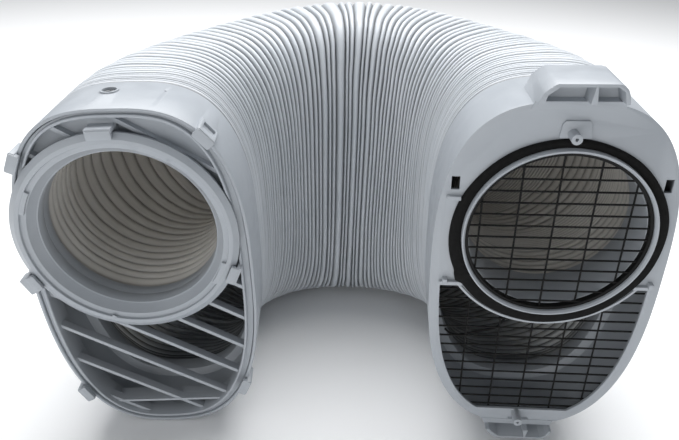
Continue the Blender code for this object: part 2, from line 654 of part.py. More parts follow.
guard_r = COLLAR_RADIUS - COLLAR_WALL - FIT
guard = turned("round_guard", [
    (ROUND_GUARD_DEPTH - 0.003, guard_r), (ROUND_GUARD_DEPTH - 0.003, guard_r - 0.006),
    (ROUND_GUARD_DEPTH + 0.0042, guard_r - 0.006), (ROUND_GUARD_DEPTH + 0.0042, guard_r)],
    SHELL_SIDES, (RIGHT_MOUTH, MOUTH_HEIGHT), PARTS, BLACK)
rows = [MOUTH_HEIGHT + (k - 6.2) * GUARD_PITCH for k in range(13)]
columns = [GUARD_MIDDLE + (k - 2) * GUARD_COLUMN for k in range(5)]
net = bars(RIGHT_MOUTH - COLLAR_RADIUS, RIGHT_MOUTH + COLLAR_RADIUS, MOUTH_HEIGHT - COLLAR_RADIUS,
           MOUTH_HEIGHT + COLLAR_RADIUS, columns, rows, ROUND_GUARD_DEPTH)
disc = rod("disc", (RIGHT_MOUTH, ROUND_GUARD_DEPTH - 0.02, MOUTH_HEIGHT),
           (RIGHT_MOUTH, ROUND_GUARD_DEPTH + 0.02, MOUTH_HEIGHT), guard_r - 0.003, SHELL_SIDES)
join(net, [disc], "INTERSECT")
join(guard, [net])
place(guard, RIGHT)

rim = lower_opening(-0.0035)
hole_line = lower_opening(-0.0010)
lower = prism("lower_guard", rim, LOWER_GUARD_DEPTH - 0.0011, LOWER_GUARD_DEPTH + 0.0012, PARTS, BLACK)
inner_cut = prism("inner_cut", hole_line, LOWER_GUARD_DEPTH - 0.005, LOWER_GUARD_DEPTH + 0.005)
join(lower, [inner_cut], "DIFFERENCE")
count = int((DIVIDER_HEIGHT - LOWER_FLOOR) / GUARD_PITCH)
rows = [LOWER_FLOOR + 0.0025 + k * GUARD_PITCH for k in range(count)]
net = bars(-HALF_WIDTH, HALF_WIDTH, 0.0, DIVIDER_HEIGHT + 0.02, columns, rows, LOWER_GUARD_DEPTH)
keep = prism("keep", lower_opening(-0.0022), LOWER_GUARD_DEPTH - 0.01, LOWER_GUARD_DEPTH + 0.01)
join(net, [keep], "INTERSECT")
join(lower, [net])
place(lower, RIGHT)

# Cable tie round the sleeve of the inner hose, its head below and a long tail curling from it


def cord(name, points, radius, sides=6):
    """A round cord through points, its section turned with it."""
    rings = []
    normal = Vector((0, 1, 0))
    for i, point in enumerate(points):
        before, after = points[max(i - 1, 0)], points[min(i + 1, len(points) - 1)]
        along = (Vector(after) - Vector(before)).normalized()
        normal = (normal - along * normal.dot(along)).normalized()
        side = along.cross(normal)
        rings.append([Vector(point)
                      + (normal * cos(2 * pi * k / sides) + side * sin(2 * pi * k / sides)) * radius
                      for k in range(sides)])
    return swept(name, rings, False, None, CUTTERS)


TIE_DEPTH = inner_right + 0.0045
TIE_RADIUS = 0.0836
tie = turned("cable_tie", [(TIE_DEPTH - 0.0018, TIE_RADIUS), (TIE_DEPTH - 0.0018, TIE_RADIUS + 0.0013),
                           (TIE_DEPTH + 0.0018, TIE_RADIUS + 0.0013), (TIE_DEPTH + 0.0018, TIE_RADIUS)],
             SHELL_SIDES, (RIGHT_MOUTH, MOUTH_HEIGHT), PARTS, BLACK)
foot = MOUTH_HEIGHT - TIE_RADIUS
head = block("head", (RIGHT_MOUTH - 0.0250, TIE_DEPTH - 0.0030, foot - 0.0010),
             (RIGHT_MOUTH - 0.0165, TIE_DEPTH + 0.0030, foot + 0.0050))
tail = [(-0.0190, 0.003), (-0.0175, -0.010), (-0.0165, -0.026), (-0.0180, -0.040), (-0.0240, -0.049),
        (-0.0330, -0.055), (-0.0440, -0.058), (-0.0570, -0.060), (-0.0660, -0.062), (-0.0740, -0.060),
        (-0.0790, -0.054)]
strand = cord("strand", [(RIGHT_MOUTH + x, TIE_DEPTH, foot + z) for x, z in tail], 0.0011)
join(tie, [head, strand])
place(tie, RIGHT)

# The whole hose stands on its lowest point, its middle over the origin

bpy.context.view_layer.update()
corners = [v.co for part in PARTS.objects for v in part.data.vertices]
low = Vector(min(c[i] for c in corners) for i in range(3))
high = Vector(max(c[i] for c in corners) for i in range(3))
shift = Vector((-(low.x + high.x) / 2, -(low.y + high.y) / 2, -low.z))
for part in PARTS.objects:
    place(part, Matrix.Translation(shift))
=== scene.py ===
import bpy
import bmesh
from math import asin, atan2, copysign, cos, exp, hypot, pi, radians, sin
from mathutils import Matrix, Vector


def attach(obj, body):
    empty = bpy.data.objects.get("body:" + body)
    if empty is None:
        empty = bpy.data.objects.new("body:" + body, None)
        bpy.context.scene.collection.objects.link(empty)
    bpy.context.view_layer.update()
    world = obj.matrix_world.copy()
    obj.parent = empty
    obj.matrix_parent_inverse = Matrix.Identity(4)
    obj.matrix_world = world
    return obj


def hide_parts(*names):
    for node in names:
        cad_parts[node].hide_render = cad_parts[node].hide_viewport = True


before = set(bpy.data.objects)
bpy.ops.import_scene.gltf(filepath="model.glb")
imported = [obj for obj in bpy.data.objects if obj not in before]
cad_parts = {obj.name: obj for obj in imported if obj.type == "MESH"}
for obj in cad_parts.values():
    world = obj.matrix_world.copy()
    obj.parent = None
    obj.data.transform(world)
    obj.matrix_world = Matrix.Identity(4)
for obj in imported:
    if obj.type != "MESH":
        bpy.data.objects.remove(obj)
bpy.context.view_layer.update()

# Outer hose: a long sleeve of white polypropylene film, pleated over its whole length.
# Drawn out and bent round, its pleats stand open on the outside of the bend and lie
# close on the inside. Its ends are pushed over the spigots of the two adapters.

window_lean = radians(-2.44)
unit_lean = radians(-2.5)
bend_lean = radians(3.0)
window_end = (Matrix.Translation((-0.17237, -0.19014, 0.0004)) @ Matrix.Rotation(radians(2.3), 4, "Z")
              @ Matrix.Rotation(window_lean, 4, "Y"))
unit_end = (Matrix.Translation((0.18873, -0.19664, 0.0195)) @ Matrix.Rotation(radians(-3.2), 4, "Z")
            @ Matrix.Rotation(unit_lean, 4, "Y"))
oval_half = 0.101
oval_top = 0.3465
oval_widest = 0.185
oval_power_up = 2.9
oval_power_low = 2.6
hose_start = 0.0663
hose_straight = 0.030


def ease(value, start, stop):
    t = min(max((value - start) / (stop - start), 0.0), 1.0)
    return t * t * (3 - 2 * t)


def hose_line(depth_left, depth_right, height, shares, aside=(0.0, 0.0)):
    """Points along the bend from one adapter to the other, and the whole length.

    Each point is its place, the directions across and up, and how far it is into the bend. aside
    is how far the line stands off the middle line of each adapter.
    """
    start = window_end @ Vector((0, depth_left, 0))
    stop = unit_end @ Vector((0, depth_right, 0))
    heading0 = (window_end.to_3x3() @ Vector((0, 1, 0))).xy
    heading1 = -(unit_end.to_3x3() @ Vector((0, 1, 0))).xy
    a0 = atan2(heading0.y, heading0.x)
    a1 = atan2(heading1.y, heading1.x)
    if a1 > a0:
        a1 -= 2 * pi
    straight = hose_start + hose_straight - depth_left
    whole = Vector((sin(a0) - sin(a1), cos(a1) - cos(a0)))
    gap = stop.xy - start.xy - heading0 * straight
    det = whole.x * heading1.y - whole.y * heading1.x
    radius = (gap.x * heading1.y - gap.y * heading1.x) / det
    last = (whole.x * gap.y - whole.y * gap.x) / det
    turn = a0 - a1
    total = straight + turn * radius + last
    line = []
    for share in shares:
        s = share * total
        if s <= straight:
            spot, angle = start.xy + heading0 * s, a0
        elif s >= straight + turn * radius:
            spot, angle = stop.xy - heading1 * (total - s), a1
        else:
            angle = a0 - (s - straight) / radius
            spot = (start.xy + heading0 * straight
                    + radius * Vector((sin(a0) - sin(angle), cos(angle) - cos(a0))))
        part = (s + depth_left - hose_start) / (total + depth_left + depth_right - 2 * hose_start)
        part = min(max(part, 0.0), 1.0)
        over = ease(part, 0.06, 0.94)
        bulge = sin(pi * over) ** 2
        lean = window_lean * (1 - over) - unit_lean * over - bend_lean * bulge
        rise = start.z + (stop.z - start.z) * ease(part, 0.45, 0.94)
        inward = Vector((sin(angle), -cos(angle), 0))
        up = Vector((0, 0, 1)) * cos(lean) + inward * sin(lean)
        across = inward * cos(lean) - Vector((0, 0, 1)) * sin(lean)
        off = aside[0] * (1 - over) - aside[1] * over
        line.append((Vector((spot.x, spot.y, rise)) + up * height + across * off, across, up, bulge))
    return line, total


def value_node(tree, how, *inputs):
    """A Math node of that kind, its inputs linked or set in order."""
    node = tree.nodes.new("ShaderNodeMath")
    node.operation = how
    for socket, given in zip(node.inputs, inputs):
        if isinstance(given, bpy.types.NodeSocket):
            tree.links.new(given, socket)
        else:
            socket.default_value = given
    return node.outputs[0]


def vector_node(tree, how, *inputs):
    """A Vector Math node of that kind; Scale takes its factor as the second input."""
    node = tree.nodes.new("ShaderNodeVectorMath")
    node.operation = how
    sockets = [node.inputs[0], node.inputs["Scale"]] if how == "SCALE" else node.inputs
    for socket, given in zip(sockets, inputs):
        if isinstance(given, bpy.types.NodeSocket):
            tree.links.new(given, socket)
        else:
            socket.default_value = given
    return node.outputs["Vector"]


def new_tree(name, inputs):
    """A Geometry Nodes tree with named inputs (name, socket type, default)."""
    tree = bpy.data.node_groups.new(name, "GeometryNodeTree")
    for label, kind, default in inputs:
        socket = tree.interface.new_socket(label, in_out="INPUT", socket_type=kind)
        if default is not None:
            socket.default_value = default
    tree.interface.new_socket("Geometry", in_out="OUTPUT", socket_type="NodeSocketGeometry")
    tree.is_modifier = True
    return tree, tree.nodes.new("NodeGroupInput").outputs, tree.nodes.new("NodeGroupOutput").inputs


def end_tree(tree, shape, material, result):
    """Shade the shape smooth, realize its instances and give it the material."""
    for kind in ("SetShadeSmooth", "RealizeInstances", "SetMaterial"):
        node = tree.nodes.new("GeometryNode" + kind)
        tree.links.new(shape, node.inputs["Geometry"])
        shape = node.outputs[0]
    tree.links.new(material, node.inputs["Material"])
    tree.links.new(shape, result["Geometry"])


def grown(name, start_mesh, tree, values):
    """Run a tree on a mesh and keep the result as a plain mesh object of that name."""
    carrier = bpy.data.objects.new(name + "_lines", start_mesh)
    bpy.context.scene.collection.objects.link(carrier)
    step = carrier.modifiers.new("nodes", "NODES")
    step.node_group = tree
    for item in tree.interface.items_tree:
        if item.item_type == "SOCKET" and item.in_out == "INPUT" and item.name in values:
            step[item.identifier] = values[item.name]
    bpy.context.view_layer.update()
    mesh = bpy.data.meshes.new_from_object(carrier.evaluated_get(bpy.context.evaluated_depsgraph_get()))
    carrier.modifiers.remove(step)
    bpy.data.objects.remove(carrier)
    made = bpy.data.objects.new(name, mesh)
    bpy.context.scene.collection.objects.link(made)
    return made


def folded_wall_tree():
    """A pleated film wall swept along a line of points that carry the section and the fold of each row."""
    tree, given, result = new_tree("folded_wall", [
        ("Line", "NodeSocketGeometry", None), ("Outer Rows", "NodeSocketInt", 640),
        ("Lining Rows", "NodeSocketInt", 320), ("Sides", "NodeSocketInt", 88),
        ("Fold Depth", "NodeSocketFloat", 0.0045), ("Sharpness", "NodeSocketFloat", 0.55),
        ("Film", "NodeSocketFloat", 0.0006), ("Unevenness", "NodeSocketFloat", 0.3),
        ("Ripple", "NodeSocketFloat", 0.001), ("Seed", "NodeSocketFloat", 3.0),
        ("Material", "NodeSocketMaterial", None)])

    def times(first, *others):
        for other in others:
            first = value_node(tree, "MULTIPLY", first, other)
        return first

    def plus(first, *others):
        for other in others:
            first = value_node(tree, "ADD", first, other)
        return first

    def less(first, other):
        return value_node(tree, "SUBTRACT", first, other)

    def parted(first, other):
        return value_node(tree, "DIVIDE", first, other)

    # rows run along the outside, back along the lining, and the last one closes on the first
    outer, lining = given["Outer Rows"], given["Lining Rows"]
    grid = tree.nodes.new("GeometryNodeMeshGrid")
    last_row = plus(outer, lining, 2.0)
    tree.links.new(plus(last_row, 1.0), grid.inputs["Vertices X"])
    tree.links.new(plus(given["Sides"], 1.0), grid.inputs["Vertices Y"])
    spot = tree.nodes.new("ShaderNodeSeparateXYZ")
    tree.links.new(tree.nodes.new("GeometryNodeInputPosition").outputs[0], spot.inputs[0])
    row = value_node(tree, "ROUND", times(plus(spot.outputs[0], 0.5), last_row))
    closing = value_node(tree, "GREATER_THAN", row, less(last_row, 0.5))
    past = value_node(tree, "GREATER_THAN", row, plus(outer, 0.5))
    inside = less(past, closing)
    back = times(less(outer, times(less(less(row, outer), 1.0), parted(outer, lining))), inside)
    ahead = times(row, less(1.0, past))
    mark = value_node(tree, "ROUND", plus(ahead, back))

    def carried(label, vector=False):
        """What the line's point for this row carries under that name."""
        kind = "FLOAT_VECTOR" if vector else "FLOAT"
        if label == "position":
            source = tree.nodes.new("GeometryNodeInputPosition").outputs[0]
        else:
            named = tree.nodes.new("GeometryNodeInputNamedAttribute")
            named.data_type = kind
            named.inputs["Name"].default_value = label
            source = named.outputs["Attribute"]
        sample = tree.nodes.new("GeometryNodeSampleIndex")
        sample.data_type = kind
        tree.links.new(given["Line"], sample.inputs["Geometry"])
        tree.links.new(source, sample.inputs["Value"])
        tree.links.new(mark, sample.inputs["Index"])
        return sample.outputs[0]

    # the section is an oval of a higher power, which differs inside, outside and below
    angle = times(plus(spot.outputs[1], 0.5), 2 * pi)
    c, s = value_node(tree, "COSINE", angle), value_node(tree, "SINE", angle)
    is_up = value_node(tree, "GREATER_THAN", s, 0.0)
    is_in = value_node(tree, "LESS_THAN", c, 0.0)

    def choose(test, yes, no):
        return plus(times(yes, test), times(no, less(1.0, test)))

    power = choose(is_up, choose(is_in, carried("power_in"), carried("power_out")), carried("power_low"))
    bend = parted(2.0, power)
    half, reach = carried("half"), choose(is_up, carried("rise"), carried("drop"))
    c_size, s_size = value_node(tree, "ABSOLUTE", c), value_node(tree, "ABSOLUTE", s)
    c_sign, s_sign = value_node(tree, "SIGN", c), value_node(tree, "SIGN", s)
    x = times(value_node(tree, "POWER", c_size, bend), c_sign, half)
    z = times(value_node(tree, "POWER", s_size, bend), s_sign, reach)
    rest = less(2.0, bend)
    out_x = parted(times(value_node(tree, "POWER", c_size, rest), c_sign), half)
    out_z = parted(times(value_node(tree, "POWER", s_size, rest), s_sign), reach)
    length = value_node(tree, "SQRT", plus(times(out_x, out_x), times(out_z, out_z)))

    def wander(round_about, along, detail, seed):
        """A number from -0.5 to 0.5 that drifts round the section and from pleat to pleat."""
        place = tree.nodes.new("ShaderNodeCombineXYZ")
        for source, stretch, socket in zip((c, s, carried("pleat")), (round_about, round_about, along),
                                           place.inputs):
            tree.links.new(times(source, stretch), socket)
        noise = tree.nodes.new("ShaderNodeTexNoise")
        noise.noise_dimensions = "4D"
        noise.inputs["Scale"].default_value = 1.0
        noise.inputs["Detail"].default_value = detail
        tree.links.new(place.outputs[0], noise.inputs["Vector"])
        tree.links.new(seed, noise.inputs["W"])
        return less(noise.outputs[0], 0.5)

    # the fold goes inwards, a little uneven round each pleat
    loose = carried("loose")
    uneven = times(wander(1.6, 0.37, 1.0, given["Seed"]), times(given["Unevenness"], 2.0))
    wave = value_node(tree, "ABSOLUTE", value_node(tree, "SINE", times(carried("phase"), pi)))
    valley = less(1.0, value_node(tree, "POWER", wave, given["Sharpness"]))
    deep = times(given["Fold Depth"], carried("depth"), plus(1.0, times(uneven, loose)))
    inset = plus(times(valley, deep), plus(carried("tuck"), times(inside, given["Film"])))
    scale = parted(inset, length)
    x = less(x, times(out_x, scale))
    z = less(z, times(out_z, scale))
    # slow waves push the pleats a little along the hose
    move = times(wander(1.9, 0.12, 2.0, plus(given["Seed"], 5.0)), times(given["Ripple"], 2.0, loose))
    across, up = carried("across", True), carried("up", True)
    place = carried("position", True)
    for direction, size in ((across, times(x, -1.0)), (up, plus(z, carried("middle"))),
                            (vector_node(tree, "CROSS_PRODUCT", up, across), move)):
        place = vector_node(tree, "ADD", place, vector_node(tree, "SCALE", direction, size))
    shape = grid.outputs["Mesh"]
    for label, source in (("valley", valley), ("pleat_number", carried("pleat")), ("lining", inside)):
        keep = tree.nodes.new("GeometryNodeStoreNamedAttribute")
        keep.data_type = "FLOAT"
        keep.domain = "POINT"
        keep.inputs["Name"].default_value = label
        tree.links.new(shape, keep.inputs["Geometry"])
        tree.links.new(source, keep.inputs["Value"])
        shape = keep.outputs["Geometry"]
    put = tree.nodes.new("GeometryNodeSetPosition")
    tree.links.new(shape, put.inputs["Geometry"])
    tree.links.new(place, put.inputs["Position"])
    weld = tree.nodes.new("GeometryNodeMergeByDistance")
    weld.inputs["Distance"].default_value = 0.00001
    tree.links.new(put.outputs[0], weld.inputs["Geometry"])
    end_tree(tree, weld.outputs[0], given["Material"], result)
    return tree


def line_mesh(name, rows):
    """Points with their section and fold, one for each row of a folded wall."""
    mesh = bpy.data.meshes.new(name)
    mesh.from_pydata([tuple(row["position"]) for row in rows], [(i, i + 1) for i in range(len(rows) - 1)], [])
    for label in rows[0]:
        if label == "position":
            continue
        vector = label in ("across", "up")
        layer = mesh.attributes.new(label, "FLOAT_VECTOR" if vector else "FLOAT", "POINT")
        for i, row in enumerate(rows):
            if vector:
                layer.data[i].vector = row[label]
            else:
                layer.data[i].value = row[label]
    return mesh


folded_wall = folded_wall_tree()
rows_per_pleat = 8

# How far each pleat is drawn out: close at the adapters, open in the bend, a few gaping
pleat_count = 80
gaping = {30: 1.25, 33: 1.55, 34: 0.8, 36: 1.65, 37: 0.75, 39: 1.5, 40: 0.8, 42: 1.2, 55: 1.15, 61: 0.85}
pitches = []
for k in range(pleat_count):
    opened = 0.40 + 0.60 * ease(k, 2, 13) * ease(pleat_count - 1 - k, 2, 13)
    pitches.append(opened * (1 + 0.10 * sin(2.3 * k) + 0.08 * sin(0.9 * k + 1.3)) * gaping.get(k, 1.0))
cuff = 0.005


def pleat_rows(depth_left, depth_right, height, pitches, fractions, cuff, section, aside=(0.0, 0.0)):
    """Rows of a folded wall: each pleat from valley to valley, with plain cuffs at both ends."""
    whole = hose_line(depth_left, depth_right, height, [])[1]
    marks, labels = [], []
    at, stretch = cuff, (whole - 2 * cuff) / sum(pitches)
    for k, pitch in enumerate(pitches):
        size = pitch * stretch
        for n, fraction in enumerate(fractions(size)):
            marks.append((at + size * fraction) / whole)
            labels.append((k, n / rows_per_pleat))
        at += size
    marks.append(at / whole)
    labels.append((len(pitches) - 1, 1.0))
    # the first and last pleat run out into the cuffs
    marks[0], marks[-1] = 0.0, 1.0
    line, whole = hose_line(depth_left, depth_right, height, marks, aside)
    rows = []
    for (k, phase), (place, across, up, bulge) in zip(labels, line):
        row = {"position": place, "across": across, "up": up, "phase": phase, "pleat": k}
        row.update(section(bulge, k))
        rows.append(row)
    return rows


def outer_section(bulge, k):
    edge = min(k, pleat_count - 1 - k)
    half = oval_half + 0.001 * bulge
    return {"half": half, "rise": oval_top + 0.023 * bulge - oval_widest, "drop": oval_widest,
            "middle": oval_widest, "power_in": oval_power_up + 1.6 * bulge, "power_out": oval_power_up,
            "power_low": oval_power_low + 0.9 * bulge,
            "depth": (0.15 if edge == 0 else 0.8 + 0.2 * ease(edge, 1, 10)) * (1.15 if k in gaping else 1.0),
            "tuck": 0.0008 if edge == 0 else 0.0003 + 0.0003 * sin(1.7 * k), "loose": ease(edge, 0, 5)}


def narrow_valley(size):
    return [n / rows_per_pleat - 0.06 * sin(2 * pi * n / rows_per_pleat) for n in range(rows_per_pleat)]


outer_rows = pleat_rows(hose_start, hose_start, 0.0, pitches, narrow_valley, cuff, outer_section)

# Film: milky white, a little grey where the light doesn't get into the folds
bellows_film = bpy.data.materials.new("bellows_film")


def plastic_grain_group():
    """Values that every plastic of this hose shares: a soft mottle, a fine grain and scuffs."""
    group = bpy.data.node_groups.new("plastic_grain", "ShaderNodeTree")
    for label, default in (("Mottle Scale", 9.0), ("Grain Scale", 900.0), ("Scuff Scale", 60.0)):
        socket = group.interface.new_socket(label, in_out="INPUT", socket_type="NodeSocketFloat")
        socket.default_value = default
    for label in ("Mottle", "Grain", "Scuff"):
        group.interface.new_socket(label, in_out="OUTPUT", socket_type="NodeSocketFloat")
    given = group.nodes.new("NodeGroupInput").outputs
    result = group.nodes.new("NodeGroupOutput").inputs
    spot = group.nodes.new("ShaderNodeTexCoord").outputs["Object"]
    for scale, label, detail in (("Mottle Scale", "Mottle", 3.0), ("Grain Scale", "Grain", 2.0),
                                 ("Scuff Scale", "Scuff", 5.0)):
        noise = group.nodes.new("ShaderNodeTexNoise")
        noise.inputs["Detail"].default_value = detail
        group.links.new(spot, noise.inputs["Vector"])
        group.links.new(given[scale], noise.inputs["Scale"])
        group.links.new(noise.outputs[0], result[label])
    return group


plastic_grain = plastic_grain_group()


def blend_colour(tree, factor, first, second):
    """A Mix node for colours; each colour is a link or three numbers."""
    node = tree.nodes.new("ShaderNodeMix")
    node.data_type = "RGBA"
    tree.links.new(factor, node.inputs[0])
    for socket, given in ((node.inputs[6], first), (node.inputs[7], second)):
        if isinstance(given, bpy.types.NodeSocket):
            tree.links.new(given, socket)
        else:
            socket.default_value = (*given, 1)
    return node.outputs[2]


def span(tree, source, low, high, to_low=0.0, to_high=1.0):
    node = tree.nodes.new("ShaderNodeMapRange")
    tree.links.new(source, node.inputs["Value"])
    for socket, given in zip(node.inputs[1:5], (low, high, to_low, to_high)):
        socket.default_value = given
    return node.outputs["Result"]


def start_plastic(mat, mottle=9.0, grain=900.0, scuff=60.0):
    mat.use_nodes = True
    tree = mat.node_tree
    shader = tree.nodes["Principled BSDF"]
    group = tree.nodes.new("ShaderNodeGroup")
    group.node_tree = plastic_grain
    for label, given in (("Mottle Scale", mottle), ("Grain Scale", grain), ("Scuff Scale", scuff)):
        group.inputs[label].default_value = given
    return tree, shader, group.outputs


def raise_bump(tree, shader, height, strength, distance):
    bump = tree.nodes.new("ShaderNodeBump")
    bump.inputs["Strength"].default_value = strength
    bump.inputs["Distance"].default_value = distance
    tree.links.new(height, bump.inputs["Height"])
    tree.links.new(bump.outputs[0], shader.inputs["Normal"])


def film_material(mat, crest, shade, deep, rough, lift):
    """Folded film: lighter on the crests, with painted shade making it darker down in the valleys."""
    tree, shader, grain = start_plastic(mat, 14.0, 700.0, 45.0)
    named = tree.nodes.new("ShaderNodeAttribute")
    named.attribute_name = "valley"
    valley = value_node(tree, "POWER", named.outputs["Fac"], lift)
    colour = blend_colour(tree, span(tree, grain["Mottle"], 0.35, 0.65), crest, shade)
    # painted shade: the valleys of the folds are mixed towards the dark deep colour
    colour = blend_colour(tree, valley, colour, deep)
    tree.links.new(colour, shader.inputs["Base Color"])
    tree.links.new(span(tree, grain["Scuff"], 0.3, 0.7, rough, rough + 0.12), shader.inputs["Roughness"])
    shader.inputs["Subsurface Weight"].default_value = 0.25
    shader.inputs["Subsurface Radius"].default_value = (1.0, 0.95, 0.85)
    shader.inputs["Subsurface Scale"].default_value = 0.004
    raise_bump(tree, shader, grain["Grain"], 0.12, 0.0003)


# deep is the colour of the painted shade in the bottom of the folds
film_material(bellows_film, crest=(0.58, 0.61, 0.645), shade=(0.53, 0.565, 0.60), deep=(0.05, 0.052, 0.055),
              rough=0.42, lift=0.85)
film_thickness = 0.0006
outer_hose = grown("pleated_outer_hose", line_mesh("outer_rows", outer_rows), folded_wall, {
    "Outer Rows": len(outer_rows) - 1, "Lining Rows": (len(outer_rows) - 1) // 2, "Sides": 88,
    "Fold Depth": 0.0054, "Sharpness": 0.62, "Film": film_thickness, "Unevenness": 0.45, "Ripple": 0.0018,
    "Seed": 3.0, "Material": bellows_film})
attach(outer_hose, "root")
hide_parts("outer_hose")

# Inner hose: a round duct of the same film, wound with narrow ribs that stand outwards, so that
# its inside is smooth with dark lines: the grooves of the ribs, with painted shade in them. It is drawn
# far out at the window end and lies in groups of close folds at the unit end.

mouth_height = 0.230
left_mouth = -0.0060
right_mouth = 0.0030
inner_radius = 0.0792
inner_pleats = 84
drawn_out = 40


def inner_pitch(k):
    from_unit = inner_pleats - 1 - k
    if k < drawn_out:
        return 2.6
    return 0.72 if (from_unit % 17) > 5 else 1.9


def inner_section(bulge, k):
    edge = min(k, inner_pleats - 1 - k)
    return {"half": inner_radius, "rise": inner_radius, "drop": inner_radius, "middle": 0.0,
            "power_in": 2.0, "power_out": 2.0, "power_low": 2.0,
            "depth": 0.15 if edge == 0 else 1.0, "tuck": 0.0, "loose": ease(edge, 0, 5)}


def narrow_rib(size):
    turn = min(0.0006 / size, 0.083)
    return [0.0, turn, min(2.4 * turn, 0.19), min(6 * turn, 0.33), 0.5,
            1 - min(6 * turn, 0.33), 1 - min(2.4 * turn, 0.19), 1 - turn]


inner_start, inner_stop, inner_cuff = 0.0216, 0.0290, 0.012
inner_rows = pleat_rows(inner_start, inner_stop, mouth_height, [inner_pitch(k) for k in range(inner_pleats)],
                        narrow_rib, inner_cuff, inner_section, (left_mouth, right_mouth))
# deep is the colour of the painted shade in the grooves of the ribs
duct_film = bpy.data.materials.new("duct_film")
film_material(duct_film, crest=(0.76, 0.735, 0.69), shade=(0.68, 0.655, 0.61), deep=(0.07, 0.062, 0.052),
              rough=0.5, lift=0.8)
inner_hose = grown("ribbed_inner_hose", line_mesh("inner_rows", inner_rows), folded_wall, {
    "Outer Rows": len(inner_rows) - 1, "Lining Rows": len(inner_rows) - 1, "Sides": 56,
    "Fold Depth": -0.0030, "Sharpness": 0.55, "Film": film_thickness, "Unevenness": 0.25, "Ripple": 0.0015,
    "Seed": 11.0, "Material": duct_film})
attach(inner_hose, "root")
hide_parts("inner_hose")

# Window adapter, band: an oval sleeve moulded in white polypropylene, with a spigot behind that
# the outer hose sits on. Four snap hooks stand on its rim for the window plate, a small hook
# holds the ring, and a boss on top takes the screw.

shell_plastic = bpy.data.materials.new("shell_plastic")
tree, shader, grain = start_plastic(shell_plastic)
shell_mottle = span(tree, grain["Mottle"], 0.35, 0.65)
tree.links.new(blend_colour(tree, shell_mottle, (0.37, 0.395, 0.425), (0.34, 0.367, 0.40)),
               shader.inputs["Base Color"])
tree.links.new(span(tree, grain["Scuff"], 0.3, 0.7, 0.30, 0.44), shader.inputs["Roughness"])
raise_bump(tree, shader, grain["Grain"], 0.1, 0.0002)
band_depth = 0.066
band_sides = 144
band_wall = 0.0034
spigot_reach = 0.014
spigot_outside, spigot_inside = 0.0102, 0.0122
# the back of both bands, as depth and distance inside the oval
spigot_line = [
    (band_depth - 0.004, band_wall), (band_depth - 0.002, spigot_inside),
    (band_depth + spigot_reach, spigot_inside), (band_depth + spigot_reach, spigot_outside),
    (band_depth, 0.0100), (band_depth, 0.0008), (band_depth - 0.0006, 0.0)]


def oval(count, inset=0.0):
    """The oval of both adapters as (x, height), moved inwards by a distance or by a rule of the direction."""
    points = []
    for i in range(count):
        c, s = cos(2 * pi * i / count), sin(2 * pi * i / count)
        power = oval_power_up if s > 0 else oval_power_low
        reach = oval_top - oval_widest if s > 0 else oval_widest
        out_x = copysign(abs(c) ** (2 - 2 / power), c) / oval_half
        out_z = copysign(abs(s) ** (2 - 2 / power), s) / reach
        move = (inset(c, s) if callable(inset) else inset) / hypot(out_x, out_z)
        points.append((copysign(abs(c) ** (2 / power), c) * oval_half - out_x * move,
                       copysign(abs(s) ** (2 / power), s) * reach - out_z * move + oval_widest))
    return points


def loft(rings, closed=False):
    """A closed body through rings of equally many points, in its adapter's own frame."""
    count, rows = len(rings[0]), len(rings)
    faces = []
    for r in range(rows if closed else rows - 1):
        for k in range(count):
            a, b, d = r * count + k, r * count + (k + 1) % count, ((r + 1) % rows) * count
            faces.append((a, b, d + (k + 1) % count, d + k))
    if not closed:
        faces += [tuple(range(count)), tuple((rows - 1) * count + k for k in range(count))]
    mesh = bpy.data.meshes.new("blank")
    mesh.from_pydata([tuple(p) for ring in rings for p in ring], [], faces)
    edit = bmesh.new()
    edit.from_mesh(mesh)
    bmesh.ops.recalc_face_normals(edit, faces=edit.faces)
    edit.to_mesh(mesh)
    edit.free()
    made = bpy.data.objects.new("blank", mesh)
    bpy.context.scene.collection.objects.link(made)
    return made


def slab(line, front, back, at=lambda u, v, w: (u, w, v)):
    """An outline carried from one level to another; by default it lies in x and height."""
    return loft([[at(u, v, w) for u, v in line] for w in (front, back)])


def block(low, high):
    return slab([(low[0], low[2]), (high[0], low[2]), (high[0], high[2]), (low[0], high[2])], low[1], high[1])


def turned(profile, centre, sides=128, start=0.0, stop=2 * pi):
    """A profile of (depth, radius) turned about a line along the depth."""
    whole = stop - start > 6.28
    steps = sides if whole else sides + 1
    angles = [start + (stop - start) * i / sides for i in range(steps)]
    rings = [[(centre[0] + r * cos(a), y, centre[1] + r * sin(a)) for y, r in profile] for a in angles]
    return loft(rings, whole)


def rod(start, end, radius, sides=24):
    a, b = Vector(start), Vector(end)
    turn = (b - a).to_track_quat("Z", "Y").to_matrix()
    return loft([[p + turn @ Vector((radius * cos(2 * pi * i / sides), radius * sin(2 * pi * i / sides), 0))
                  for i in range(sides)] for p in (a, b)])


def oval_band(profile):
    """A sleeve along the oval; its profile is a closed line of (depth, inset)."""
    rows = [(y, oval(band_sides, w)) for y, w in profile]
    return loft([[(ring[i][0], y, ring[i][1]) for y, ring in rows] for i in range(band_sides)], True)


def applied(made):
    """Bake the object's modifiers into a plain mesh."""
    bpy.context.view_layer.update()
    mesh = bpy.data.meshes.new_from_object(made.evaluated_get(bpy.context.evaluated_depsgraph_get()))
    made.modifiers.clear()
    made.data = mesh
    return made


def merge(target, tools, how="UNION"):
    """Join the tools to the target, or cut it with them, one after the other."""
    for tool in tools:
        step = target.modifiers.new(how, "BOOLEAN")
        step.solver = "EXACT"
        step.operation = how
        step.object = tool
        applied(target)
        bpy.data.objects.remove(tool)
        edit = bmesh.new()
        edit.from_mesh(target.data)
        bmesh.ops.remove_doubles(edit, verts=edit.verts, dist=0.00002)
        bmesh.ops.dissolve_degenerate(edit, edges=edit.edges, dist=0.00002)
        edit.to_mesh(target.data)
        edit.free()
    return target


